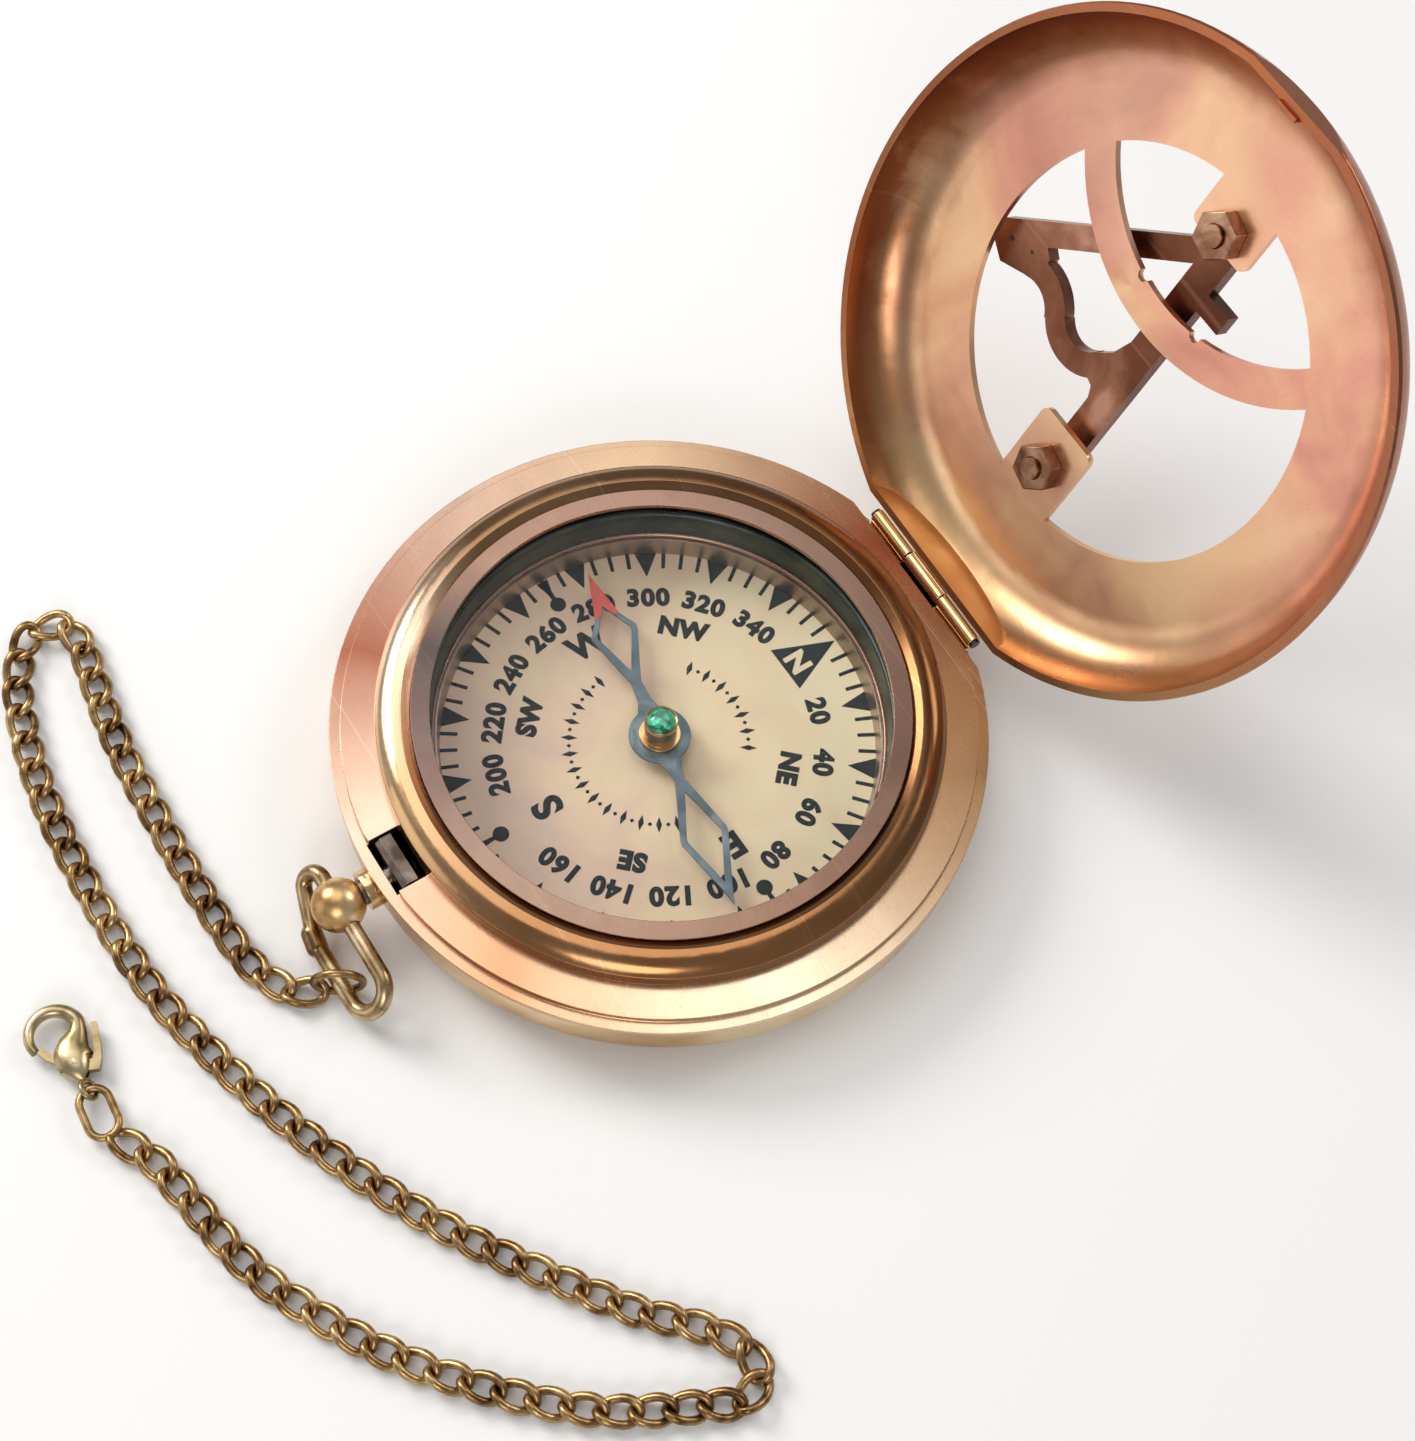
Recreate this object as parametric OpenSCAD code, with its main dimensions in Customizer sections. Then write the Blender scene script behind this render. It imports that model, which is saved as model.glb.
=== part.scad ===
// Pocket sundial compass with a hinged lid, a folding gnomon, a push-button latch and a chain.
// Frame: +Z up, +Y towards the lid hinge (dial north), origin at the centre of the resting face.
// The lid is drawn shut and turned open about its hinge, and the gnomon lies folded on the lid.

/* [Case] */
// Radius of the case flange and of the lid
case_r = 37.5; // [36:0.5:39]
// Height of the flange's top face above the resting face
flange_z = 10; // [9.5:0.1:11]
// Wall thickness of the pressed base shell
shell_t = 0.8; // [0.6:0.1:1]
// Radius of the rounded bottom edge
base_round = 4.5; // [3:0.5:5]

/* [Compass] */
// Radius of the clear opening over the dial
opening_r = 26.1; // [25.5:0.1:26.5]
// Depth of the dial's face under the flange
dial_drop = 6.8; // [6:0.1:7]
// Thickness of the glass
glass_t = 1.2; // [0.8:0.1:1.4]
// Half the length of the compass needle
needle_half = 22.5; // [21.5:0.5:24]
// Bearing of the needle's north end, clockwise from the hinge
needle_bearing = 280; // [0:5:355]

/* [Lid] */
// Angle of the open lid from shut
lid_open = 117; // [90:1:120]
// Depth of the dished lid inside
lid_depth = 6.5; // [6:0.1:7]
// Thickness of the lid's sheet
lid_t = 0.9; // [0.7:0.1:1]
// Radius of the lid's aperture
aperture_r = 23.1; // [21:0.1:24]

/* [Gnomon] */
// Angle between the style edge and the dial plane, the latitude it is cut for
style_angle = 50.5; // [45:0.5:52]
// Thickness of the gnomon plate
gnomon_t = 1.8; // [1.2:0.1:2]
// Width of the style arm
style_w = 2.9; // [2.4:0.1:3.4]

/* [Pendant and chain] */
// Radius of the push-button ball
ball_r = 3.1; // [2.8:0.1:3.3]
// Travel of the push button
press_travel = 0.6; // [0.4:0.1:0.7]
// Radius of the bow's wire
bow_wire_r = 0.95; // [0.7:0.05:1]
// Angle by which the bow hangs below level
bow_droop = 46; // [30:1:46]
// Width of the chain
chain_w = 3.6; // [3:0.2:4]

/* [Hidden] */
$fn = 96;
eps = 0.01;
fit = 0.02;                             // gap between pieces that are pushed together

// Stations of the case
plate_r = case_r - 1.3;                 // edge of the raised plate that the lid fits round
lip_z = flange_z - 0.9;                 // top of the lip that the lid rests on
top_z = flange_z - 1.6;                 // underside of the case top, rim of the base shell
base_r = case_r - 0.3;                  // side of the base shell
bezel_r = case_r - 5.2;                 // outside of the bezel
dial_z = flange_z - dial_drop;          // face of the dial
card_t = 0.6;
seat_z = dial_z - card_t;
capsule_r = opening_r + 1.9;
glass_z = flange_z + 1.1;
glass_top = glass_z + glass_t;
retainer_top = glass_top + 0.6;
plate_chord = case_r - 3.3;             // straight edge of the plate at the hinge
lip_chord = case_r - 2.3;               // straight edge of the lip at the hinge
latch_chord = case_r - 1.6;             // straight edge of the plate at the latch

// Stations of the hinge
hinge_y = case_r - 0.9;
hinge_z = flange_z - 0.8;
knuckle_r = 0.9;
hinge_pin_r = 0.45;
hinge_run = 0.05;                       // radial clearance of the running knuckle
hinge_half = 10;
mid_half = 3.3;
end_play = 0.15;

// Stations of the lid, as drawn shut
lid_z = hinge_z;
dome_r = lid_depth + lid_t;             // outer radius of the rounded edge of the dish
dome_c = case_r - dome_r;               // where that rounding is centred
lid_in_z = lid_z + lid_depth;
lid_out_z = lid_in_z + lid_t;
lid_hinge_y = case_r - 2.2;             // outer face of the straight wall at the hinge
lid_latch_y = case_r - 0.6;             // outer face of the straight wall at the latch
band_in = 21.4;
band_out = 25.6;
band_y = -28.6;
tab_w = 8.8;
post_y = 18.2;
post_r = 2.4;
stud_r = 1.25;

// Stations of the gnomon, as drawn folded on the shut lid
axis_h = 2.3;
gnomon_z = lid_out_z + axis_h;
bar_half = 1.9;
bar_near = 14.8;
bar_far = 15.2;
trunnion_r = 0.8;
trunnion_run = 0.05;
scroll_w = 2.9;
arm_far = bar_far + 0.4;
apex_x = -24;
apex_y = arm_far + (apex_x + bar_half) / tan(style_angle);

// Stations of the needle
needle_z = dial_z + 1.8;
needle_t = 0.3;
hub_r = 3.6;
cap_r = 1.9;
cap_top = needle_z + 3.6;
pivot_r = 0.5;
pivot_run = 0.06;

// Stations of the latch and the pendant
stem_z = 6;
stem_r = 1.5;
stem_run = 0.06;
stem_hold = 0.8;                        // depth of the stem in the ball
ball_y = -(case_r + 4.2);
neck_r = 2.3;
neck_land = 0.25;                       // width of the neck's rim outside the hollow for the ball
hollow_r = ball_r + 0.1;
neck_y = ball_y + sqrt(pow(hollow_r, 2) - pow(neck_r - neck_land, 2)) + press_travel;
window_out = case_r - 1.4;
window_in = case_r - 5.4;
window_half = 3.4;
slide_y = -(case_r - 2.9);
slide_len = 1.4;
nose_y = -(case_r - 2.2);               // outer face of the latch's nose in the window
nose_len = 2;
bow_right = 12;
bow_bend = 2.7;
bow_nip = 1.55;                         // bend at the bow's narrow end
bow_nip_x = -3.75;
bow_slant = 25;                         // slope of the far bar between the narrow end and the knob
bow_knob_r = 1.25;
bow_run = 0.05;

// The chain: its centre line on the floor, chosen by hand, from the bow ring to the end ring
chain_z = 1.1;
chain_h = 2;
chain_route = [[5.8, -47.45], [4.6, -50.1], [0, -52.5], [-7, -53.3], [-14, -53.5], [-21, -53.4], [-28, -53.2],
    [-35, -52.6], [-41, -51.6], [-46, -50.8], [-49, -51.4], [-50, -53.6], [-49.4, -56.2],
    [-46, -58.8], [-41, -60.8], [-34, -62.5], [-26, -63.5], [-18, -63.8], [-10, -63.7],
    [-2, -63], [6, -61.2], [14, -58.9], [22, -56], [30, -52.4], [38, -48], [46, -42.6],
    [54, -36.7], [60, -31], [64, -28.8], [67, -29.4], [68, -32], [66.4, -35.6], [62, -43.8],
    [56, -51], [48, -58.2], [40, -63.6], [30, -68.4], [20, -70.6], [14, -71.8], [9.4, -74.2]];
bow_ring_r = 2.7;
ring_wire_r = 0.45;
end_link_wide = 3.3;                    // the oval link at the clasp, between its wire's centre lines
end_link_long = 5.8;
end_link_turn = -5;
clasp_x = 3.3;                          // the clasp's eye, which the oval link passes through
clasp_y = -74.2;
clasp_turn = 176;                       // heading of the clasp from its eye to its hook
clasp_h = 2.6;                          // thickness of the clasp's body
hook_h = 1.7;
clasp_z = 1.45;
eye_r = 1.05;
eye_wire_r = 0.33;
eye_tilt = 40;
slot_h = 1.2;                           // slot in the body that the lever turns in
lever_h = 1;
lever_x = 3.2;                          // the lever's rivet
lever_y = 0.1;
lever_reach = 4.35;                     // from the rivet to the end of the gate
rivet_r = 0.35;
rivet_run = 0.05;

// ---------------------------------------------------------------- placing

module in_lid() {
    translate([0, hinge_y, hinge_z]) rotate([-lid_open, 0, 0])
        translate([0, -hinge_y, -hinge_z]) children();
}

module on_needle() { rotate([0, 0, -needle_bearing]) children(); }

module along_y(y, z) { translate([0, y, z]) rotate([-90, 0, 0]) children(); }

module along_x(x, y, z) { translate([x, y, z]) rotate([0, 90, 0]) children(); }

module in_clasp() { translate([clasp_x, clasp_y, clasp_z]) rotate([0, 0, clasp_turn]) children(); }

module ring(outer, inner, z0, z1) {
    translate([0, 0, z0]) difference() {
        cylinder(r = outer, h = z1 - z0);
        translate([0, 0, -eps]) cylinder(r = inner, h = z1 - z0 + 2 * eps);
    }
}

module torus(big, small) { rotate_extrude() translate([big, 0]) circle(r = small, $fn = 32); }

// A part of a torus from angle 0 to the given angle, in the XY plane
module bend(big, small, angle) {
    rotate_extrude(angle = angle) translate([big, 0]) circle(r = small, $fn = 32);
}

// ---------------------------------------------------------------- case

module base_outline(r, round, top) {
    difference() {
        union() {
            square([r - round, top]);
            translate([0, round]) square([r, top - round]);
            translate([r - round, round]) circle(r = round);
        }
        translate([-case_r, -case_r]) square([case_r, 3 * case_r]);
    }
}

module base_shell() {
    color("peru") difference() {
        rotate_extrude() base_outline(base_r, base_round, top_z);
        translate([0, 0, shell_t]) rotate_extrude()
            base_outline(base_r - shell_t, base_round - shell_t, top_z);
        translate([-hinge_half - 0.2, lip_chord - 3, top_z - 0.5]) cube([2 * hinge_half + 0.4, 8, 2]);
        along_y(-case_r - 1, stem_z) cylinder(r = stem_r + stem_run, h = 3);
    }
}

module round_with_chords(r, hinge_side, latch_side, z0, z1) {
    intersection() {
        translate([0, 0, z0]) cylinder(r = r, h = z1 - z0);
        translate([-case_r - 1, -latch_side, z0 - 1])
            cube([2 * case_r + 2, latch_side + hinge_side, z1 - z0 + 2]);
    }
}

module case_top() {
    color("tan") difference() {
        union() {
            round_with_chords(case_r, lip_chord, case_r + 1, top_z, lip_z);
            round_with_chords(plate_r, plate_chord, latch_chord, lip_z - eps, flange_z);
        }
        cylinder(r = capsule_r, h = 3 * flange_z);
        translate([-window_half, -window_out, 0]) cube([2 * window_half, window_out - window_in, 20]);
    }
}

module bezel_ring() {
    crest_r = bezel_r - 2.6;
    crest_z = retainer_top + 0.2;
    rise = crest_z - flange_z;
    color("goldenrod") rotate_extrude() intersection() {
        union() {
            translate([crest_r, flange_z]) intersection() {
                circle(r = rise);
                square(rise);
            }
            polygon([[capsule_r + 0.3, flange_z], [crest_r + eps, flange_z], [crest_r + eps, crest_z],
                [crest_r - 0.3, crest_z], [capsule_r + 0.3, glass_top + 0.1]]);
        }
        translate([capsule_r + 0.3, flange_z]) square([bezel_r - capsule_r - 0.3, rise]);
    }
}

module glass_retainer() {
    color("rosybrown") ring(capsule_r + 0.25, opening_r, glass_top, retainer_top);
}

module glass() {
    color("lightcyan", 0.4) translate([0, 0, glass_z]) cylinder(r = capsule_r - 0.1, h = glass_t);
}

module capsule_wall() {
    groove_z = dial_z + 3.2;
    color("dimgray") rotate_extrude() difference() {
        polygon([[opening_r - 0.3, seat_z], [capsule_r - fit, seat_z], [capsule_r - fit, glass_z],
            [opening_r + 0.3, glass_z]]);
        translate([opening_r - 0.1, groove_z]) circle(r = 0.3, $fn = 24);
    }
}

module snap_ring() {
    color("gold") rotate([0, 0, 40]) translate([0, 0, dial_z + 3.2])
        rotate_extrude(angle = 352) translate([opening_r - 0.1, 0]) circle(r = 0.3, $fn = 24);
}

module dial_ring() {
    color("gray") rotate_extrude()
        polygon([[opening_r - 0.9, dial_z], [opening_r - 0.3, dial_z], [opening_r - 0.12, dial_z + 2.8],
            [opening_r - 0.6, dial_z + 2.8]]);
}

module dial_card() {
    color("wheat") difference() {
        translate([0, 0, seat_z]) cylinder(r = opening_r - 0.35, h = card_t);
        cylinder(r = 1.2, h = flange_z);
    }
}

module dial_seat() {
    color("burlywood") difference() {
        translate([0, 0, shell_t]) cylinder(r = capsule_r, h = seat_z - shell_t);
        cylinder(r = 1.2, h = flange_z);
    }
}

module pivot_post() {
    tip_h = 0.9;
    color("darkgoldenrod") {
        translate([0, 0, shell_t]) cylinder(r = 1.2, h = dial_z - shell_t + 0.5);
        translate([0, 0, dial_z + 0.4]) cylinder(r = pivot_r, h = cap_top - dial_z - 0.4 - tip_h - 0.04);
        translate([0, 0, cap_top - tip_h - 0.04 - eps]) cylinder(r1 = pivot_r, r2 = 0.08, h = tip_h);
    }
}

// ---------------------------------------------------------------- hinge

module knuckle(x0, x1) { along_x(x0, hinge_y, hinge_z) cylinder(r = knuckle_r, h = x1 - x0, $fn = 48); }

module hinge_leaf_case() {
    web_y = hinge_y - 0.6;
    color("khaki") difference() {
        union() {
            translate([-hinge_half, lip_chord - 2.6, top_z - 0.5])
                cube([2 * hinge_half, hinge_y + 0.3 - lip_chord + 2.6, 0.5]);
            for (side = [0, 1]) mirror([side, 0, 0]) {
                knuckle(mid_half + end_play, hinge_half);
                translate([mid_half + end_play, web_y, top_z - 0.4])
                    cube([hinge_half - mid_half - end_play, 1.1, 1.2]);
            }
        }
        along_x(-hinge_half - 1, hinge_y, hinge_z)
            cylinder(r = hinge_pin_r, h = 2 * hinge_half + 2, $fn = 48);
        translate([-mid_half - end_play, lip_chord + 0.1, 0])
            cube([2 * mid_half + 2 * end_play, 5, 2 * flange_z]);
    }
}

module hinge_pin() {
    head = 0.4;
    color("silver") {
        along_x(-hinge_half - head, hinge_y, hinge_z)
            cylinder(r = hinge_pin_r, h = 2 * (hinge_half + head), $fn = 48);
        for (x = [-hinge_half - head, hinge_half])
            along_x(x, hinge_y, hinge_z) cylinder(r = 0.65, h = head, $fn = 48);
    }
}

module hinge_leaf_lid() {
    color("khaki") in_lid() difference() {
        union() {
            knuckle(-mid_half, mid_half);
            translate([-mid_half, lid_hinge_y, lid_z + 0.05])
                cube([2 * mid_half, hinge_y - lid_hinge_y, knuckle_r - 0.05]);
            translate([-mid_half, lid_hinge_y, lid_z + 0.05]) cube([2 * mid_half, 0.4, 3]);
        }
        along_x(-mid_half - 1, hinge_y, hinge_z)
            cylinder(r = hinge_pin_r + hinge_run, h = 2 * mid_half + 2, $fn = 48);
    }
}

// ---------------------------------------------------------------- latch and pendant

// The neck's open end is hollowed, so that the pressed ball can enter it
module pendant_neck() {
    bore_r = stem_r + stem_run;
    color("gold") difference() {
        along_y(ball_y, stem_z) rotate_extrude() difference() {
            translate([bore_r, neck_y - ball_y]) square([neck_r - bore_r, 3]);
            translate([0, press_travel]) circle(r = hollow_r);
        }
        cylinder(r = base_r, h = flange_z, $fn = 360);
    }
}

// A plate on the stem, with a nose that stands in the window and is bevelled on the outside
module latch_slide() {
    side = window_half - 0.25;
    color("dimgray") {
        translate([-side, slide_y, 3.6]) cube([2 * side, slide_len, top_z - 3.8]);
        translate([side, nose_y, top_z - 0.8]) rotate([90, 0, -90]) linear_extrude(2 * side)
            polygon([[0, 0], [0, 1.5], [-0.6, 2.2], [-nose_len, 2.2], [-nose_len, 0]]);
        along_y(ball_y + ball_r - stem_hold, stem_z)
            cylinder(r = stem_r, h = slide_y - ball_y - ball_r + stem_hold + 0.1);
    }
}

function helix_point(a, pitch, big) = [big * cos(a), big * sin(a), pitch * a / 360];

module latch_spring() {
    turns = 4;
    big = 1.15;
    wire = 0.22;
    sides = 8;
    steps = 16 * turns;
    length = -slide_y - slide_len - press_travel - capsule_r - 2 * wire - 0.1;
    pitch = length / turns;
    points = [for (i = [0 : steps]) let (a = i * 360 / 16, c = helix_point(a, pitch, big))
        for (k = [0 : sides - 1]) let (b = k * 360 / sides)
            c + wire * [cos(b) * cos(a), cos(b) * sin(a), sin(b)]];
    walls = [for (i = [0 : steps - 1]) for (k = [0 : sides - 1]) let (n = (k + 1) % sides)
        [i * sides + k, i * sides + n, (i + 1) * sides + n, (i + 1) * sides + k]];
    first = [for (k = [sides - 1 : -1 : 0]) k];
    last = [for (k = [0 : sides - 1]) steps * sides + k];
    color("silver") along_y(-capsule_r - length - wire - 0.02, stem_z)
        polyhedron(points, concat([first], [for (w = walls) [w[3], w[2], w[1], w[0]]], [last]));
}

// Half outline of the ball, with the socket that its stem is fixed in
module ball_outline() {
    intersection() {
        difference() {
            circle(r = ball_r);
            translate([-stem_r, ball_r - stem_hold]) square([2 * stem_r, 2]);
        }
        translate([0, -ball_r]) square([ball_r, 2 * ball_r]);
    }
}

module button_ball() {
    color("gold") difference() {
        along_y(ball_y, stem_z) rotate_extrude() ball_outline();
        along_x(-ball_r - 1, ball_y, stem_z) cylinder(r = bow_wire_r + bow_run, h = 2 * ball_r + 2);
    }
}

// A straight piece of the bow's wire from a point in the bow's plane, at an angle to +X
module bow_bar(x, y, angle, long, r) {
    translate([x, y, 0]) rotate([0, 0, angle]) rotate([0, 90, 0]) cylinder(r = r, h = long, $fn = 32);
}

// The bow is a closed loop of wire that runs through the ball's cross hole. Its left end is pinched
// narrower, and the knob covers the joint of the wire.
module bow() {
    far_y = -2 * bow_bend;
    wide_x = bow_right - bow_bend;
    slant_x = bow_nip_x - bow_nip * sin(bow_slant);
    slant_y = -bow_nip * (1 + cos(bow_slant));
    slant_long = (slant_y - far_y) / sin(bow_slant);
    knob_x = slant_x + slant_long * cos(bow_slant);
    color("darkgoldenrod") translate([0, ball_y, stem_z]) rotate([bow_droop, 0, 0]) {
        bow_bar(bow_nip_x, 0, 0, wide_x - bow_nip_x, bow_wire_r);
        translate([wide_x, -bow_bend, 0]) rotate([0, 0, -90]) bend(bow_bend, bow_wire_r, 180);
        bow_bar(knob_x, far_y, 0, wide_x - knob_x, bow_wire_r);
        bow_bar(slant_x, slant_y, -bow_slant, slant_long, bow_wire_r);
        translate([bow_nip_x, -bow_nip, 0]) rotate([0, 0, 90]) bend(bow_nip, bow_wire_r, 180 - bow_slant);
        translate([knob_x, far_y, 0]) rotate([0, 0, -bow_slant / 2]) {
            bow_bar(-0.8, 0, 0, 1.6, bow_knob_r);
            for (x = [-0.8, 0.8]) translate([x, 0, 0]) sphere(r = bow_knob_r);
        }
    }
}

// ---------------------------------------------------------------- needle

// Half of the needle: a stem that widens to the hub, then a lozenge with a hole, and a point. The
// distances of the lozenge's corners and the ends of its hole are counted back from the point.
module needle_half_outline(near, hole, corner, closing, head, head_w) {
    wide = 2.8;
    arm = 0.75;
    difference() {
        polygon([[0, 0], [1.7, 2.4], [0.8, 4.8], [0.6, needle_half - near],
            [wide, needle_half - corner - 0.3], [wide, needle_half - corner + 0.3],
            [head_w, needle_half - head], [0, needle_half], [-head_w, needle_half - head],
            [-wide, needle_half - corner + 0.3], [-wide, needle_half - corner - 0.3],
            [-0.6, needle_half - near], [-0.8, 4.8], [-1.7, 2.4]]);
        polygon([[0, needle_half - hole], [wide - arm, needle_half - corner - 0.2],
            [wide - arm, needle_half - corner + 0.2], [0, needle_half - closing],
            [arm - wide, needle_half - corner + 0.2], [arm - wide, needle_half - corner - 0.2]]);
    }
}

module needle() {
    color("slategray") on_needle() translate([0, 0, needle_z]) linear_extrude(needle_t) difference() {
        union() {
            needle_half_outline(15.3, 13.7, 8.3, 4.6, 5.6, 1.25);
            mirror([0, 1]) needle_half_outline(16.4, 14.8, 9, 2.9, 2.1, 0.6);
            circle(r = hub_r);
        }
        circle(r = 1.3);
    }
}

module needle_cap() {
    color("gold") on_needle() difference() {
        union() {
            translate([0, 0, needle_z + needle_t]) cylinder(r = cap_r + 0.5, h = 0.5);
            translate([0, 0, needle_z + needle_t]) cylinder(r = cap_r, h = cap_top - needle_z - needle_t);
            translate([0, 0, needle_z]) cylinder(r = 1.3, h = 1);
        }
        cylinder(r = pivot_r + pivot_run, h = 3 * flange_z);
    }
}

module cap_jewel() {
    color("seagreen") on_needle() translate([0, 0, cap_top]) {
        cylinder(r = cap_r - 0.2, h = 0.5, $fn = 8);
        translate([0, 0, 0.5 - eps]) cylinder(r1 = cap_r - 0.2, r2 = cap_r - 1, h = 0.5, $fn = 8);
    }
}

// ---------------------------------------------------------------- lid

module lid_slab(hinge_side, latch_side) {
    translate([-case_r - 2, -latch_side, lid_z - 1])
        cube([2 * case_r + 4, latch_side + hinge_side, dome_r + 2]);
}

// A dish with a rounded edge, upside down, that stands on the lid's rim plane
module dome(round) {
    translate([0, 0, lid_z]) rotate_extrude() intersection() {
        union() {
            translate([dome_c, 0]) circle(r = round);
            translate([0, -round]) square([dome_c, 2 * round]);
        }
        square([2 * case_r, round]);
    }
}

module aperture_outline() {
    notch_x = 4.6;
    difference() {
        circle(r = aperture_r);
        translate([-tab_w / 2 + 1, 13.6]) rounded_tab(tab_w - 2, aperture_r);
        translate([-tab_w / 2 + 1, -aperture_r - 15.2]) rounded_tab(tab_w - 2, aperture_r - 2.3);
        difference() {
            translate([0, band_y]) circle(r = band_out);
            translate([0, band_y]) circle(r = band_in);
            for (x = [-notch_x, notch_x]) translate([x, band_y + band_in - 0.5]) circle(r = 0.75, $fn = 24);
        }
    }
}

module rounded_tab(w, h) {
    union() {
        for (x = [0, w]) for (y = [0, h]) translate([x, y]) circle(r = 1, $fn = 24);
        translate([-1, 0]) square([w + 2, h]);
        translate([0, -1]) square([w, h + 2]);
    }
}

module lid_shell() {
    color("sandybrown") in_lid() difference() {
        intersection() {
            union() {
                dome(dome_r);
                translate([0, 0, lid_z + 0.5]) torus(case_r - 0.35, 0.5);
            }
            lid_slab(lid_hinge_y, lid_latch_y);
        }
        intersection() {
            dome(lid_depth);
            lid_slab(lid_hinge_y - lid_t, lid_latch_y - lid_t);
        }
        translate([0, 0, lid_z]) linear_extrude(3 * dome_r) aperture_outline();
        for (y = [-post_y, post_y]) translate([0, y, lid_z]) cylinder(r = stud_r, h = 3 * dome_r);
    }
}

module lid_catch() {
    wall = -(lid_latch_y - lid_t);
    color("saddlebrown") in_lid() translate([-1.5, wall, lip_z - 0.4]) cube([3, 0.5, 2.2]);
}

module gnomon_posts() {
    head = axis_h + trunnion_r + 0.9;
    color("darkgoldenrod") in_lid() for (y = [-post_y, post_y]) translate([0, y, lid_out_z]) difference() {
        union() {
            cylinder(r = post_r, h = head);
            translate([0, 0, -lid_t - 2.5]) cylinder(r = stud_r, h = lid_t + 2.6);
        }
        translate([0, -post_r - 1, axis_h]) rotate([-90, 0, 0])
            cylinder(r = trunnion_r + trunnion_run, h = 2 * post_r + 2, $fn = 48);
    }
}

module post_nuts() {
    color("peru") in_lid() for (y = [-post_y, post_y]) translate([0, y, lid_in_z - 2]) difference() {
        rotate([0, 0, 15]) cylinder(r = 2.5 / cos(30), h = 2, $fn = 6);
        translate([0, 0, -1]) cylinder(r = stud_r, h = 4);
    }
}

// ---------------------------------------------------------------- gnomon

module arc_stroke(x, y, r, w, from, sweep) {
    translate([x, y]) intersection() {
        difference() {
            circle(r = r + w / 2);
            circle(r = r - w / 2);
        }
        polygon(concat([[0, 0]], [for (i = [0 : 6]) 2 * r * [cos(from + i * sweep / 6),
            sin(from + i * sweep / 6)]]));
    }
}

// Outline of the folded gnomon: bar along the lid's middle, style arm, scroll and stop lug
module gnomon_outline() {
    over = style_w / sin(style_angle);
    translate([-bar_half, -bar_far]) square([2 * bar_half, bar_far + bar_near]);
    inner_x = apex_x + 6.7;
    inner_y = over - arm_far - (inner_x + bar_half) / tan(style_angle);
    polygon([[-bar_half + eps, -arm_far], [apex_x, -apex_y], [apex_x + 0.6, -apex_y + 3],
        [apex_x + 2.7, -apex_y + 4.2], [apex_x + 6.5, -apex_y + 2.75], [apex_x + 7.9, -apex_y + 1.2],
        [apex_x + 7.9, -apex_y - 0.9], [inner_x, inner_y], [-bar_half + eps, over - arm_far]]);
    arc_stroke(-15.8, 9, 5.4, scroll_w, -115, 85);
    arc_stroke(-7.5, 2.8, 4.85, scroll_w, 35, 105);
    polygon([[-4.75, 4.9], [-2.9, 3], [-bar_half + eps, 0.2], [-bar_half + eps, 9.2], [-2.5, 7.9],
        [-3.5, 7.6]]);
    translate([bar_half - eps, -10.8]) square([3.6, 2.4]);
}

module gnomon() {
    color("rosybrown") in_lid() translate([0, 0, gnomon_z]) {
        translate([0, 0, -gnomon_t / 2]) linear_extrude(gnomon_t) gnomon_outline();
        translate([0, -post_y - post_r, 0]) rotate([-90, 0, 0])
            cylinder(r = trunnion_r, h = 2 * (post_y + post_r), $fn = 48);
    }
}

// ---------------------------------------------------------------- chain

module bow_ring() {
    reach = 2 * bow_bend;
    bar = [7, ball_y - reach * cos(bow_droop), stem_z - reach * sin(bow_droop)];
    color("darkgoldenrod") translate([bar[0] - 0.15, bar[1] - 0.26, bow_ring_r + ring_wire_r + 0.05])
        rotate([0, 0, 60]) rotate([90, 0, 0]) torus(bow_ring_r, ring_wire_r);
}

function flat3(p) = [p[0], p[1], chain_z];
function unit(v) = v / norm(v);
function heading(path, i) = unit(path[min(i + 1, len(path) - 1)] - path[max(i - 1, 0)]);

// Points between the route's own points, on a smooth curve through them
function smooth(a, b, c, d, t) = 0.5 * (2 * b + (c - a) * t + (2 * a - 5 * b + 4 * c - d) * t * t
    + (3 * b - a - 3 * c + d) * t * t * t);

module chain() {
    sides = 8;
    n = len(chain_route);
    path = [for (i = [0 : n - 2]) for (t = (i == n - 2) ? [0, 0.5, 1] : [0, 0.5])
        smooth(chain_route[max(i - 1, 0)], chain_route[i], chain_route[i + 1],
            chain_route[min(i + 2, n - 1)], t)];
    rings = len(path);
    points = [for (i = [0 : rings - 1]) let (h = heading(path, i), side = [-h[1], h[0], 0])
        for (k = [0 : sides - 1]) let (b = 22.5 + k * 360 / sides)
            flat3(path[i]) + chain_w / 2 * cos(b) * side + [0, 0, chain_h / 2 * sin(b)]];
    walls = [for (i = [0 : rings - 2]) for (k = [0 : sides - 1]) let (m = (k + 1) % sides)
        [i * sides + k, i * sides + m, (i + 1) * sides + m, (i + 1) * sides + k]];
    first = [for (k = [sides - 1 : -1 : 0]) k];
    last = [for (k = [0 : sides - 1]) (rings - 1) * sides + k];
    color("olive") polyhedron(points, concat([first], walls, [last]));
}

// A closed oval of round wire that starts at the origin and runs along +X
module oval_link(long, wide, wire) {
    bend_r = wide / 2;
    for (y = [-bend_r, bend_r]) translate([bend_r, y, 0]) rotate([0, 90, 0])
        cylinder(r = wire, h = long - wide, $fn = 32);
    translate([bend_r, 0, 0]) rotate([0, 0, 90]) bend(bend_r, wire, 180);
    translate([long - bend_r, 0, 0]) rotate([0, 0, -90]) bend(bend_r, wire, 180);
}

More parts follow.
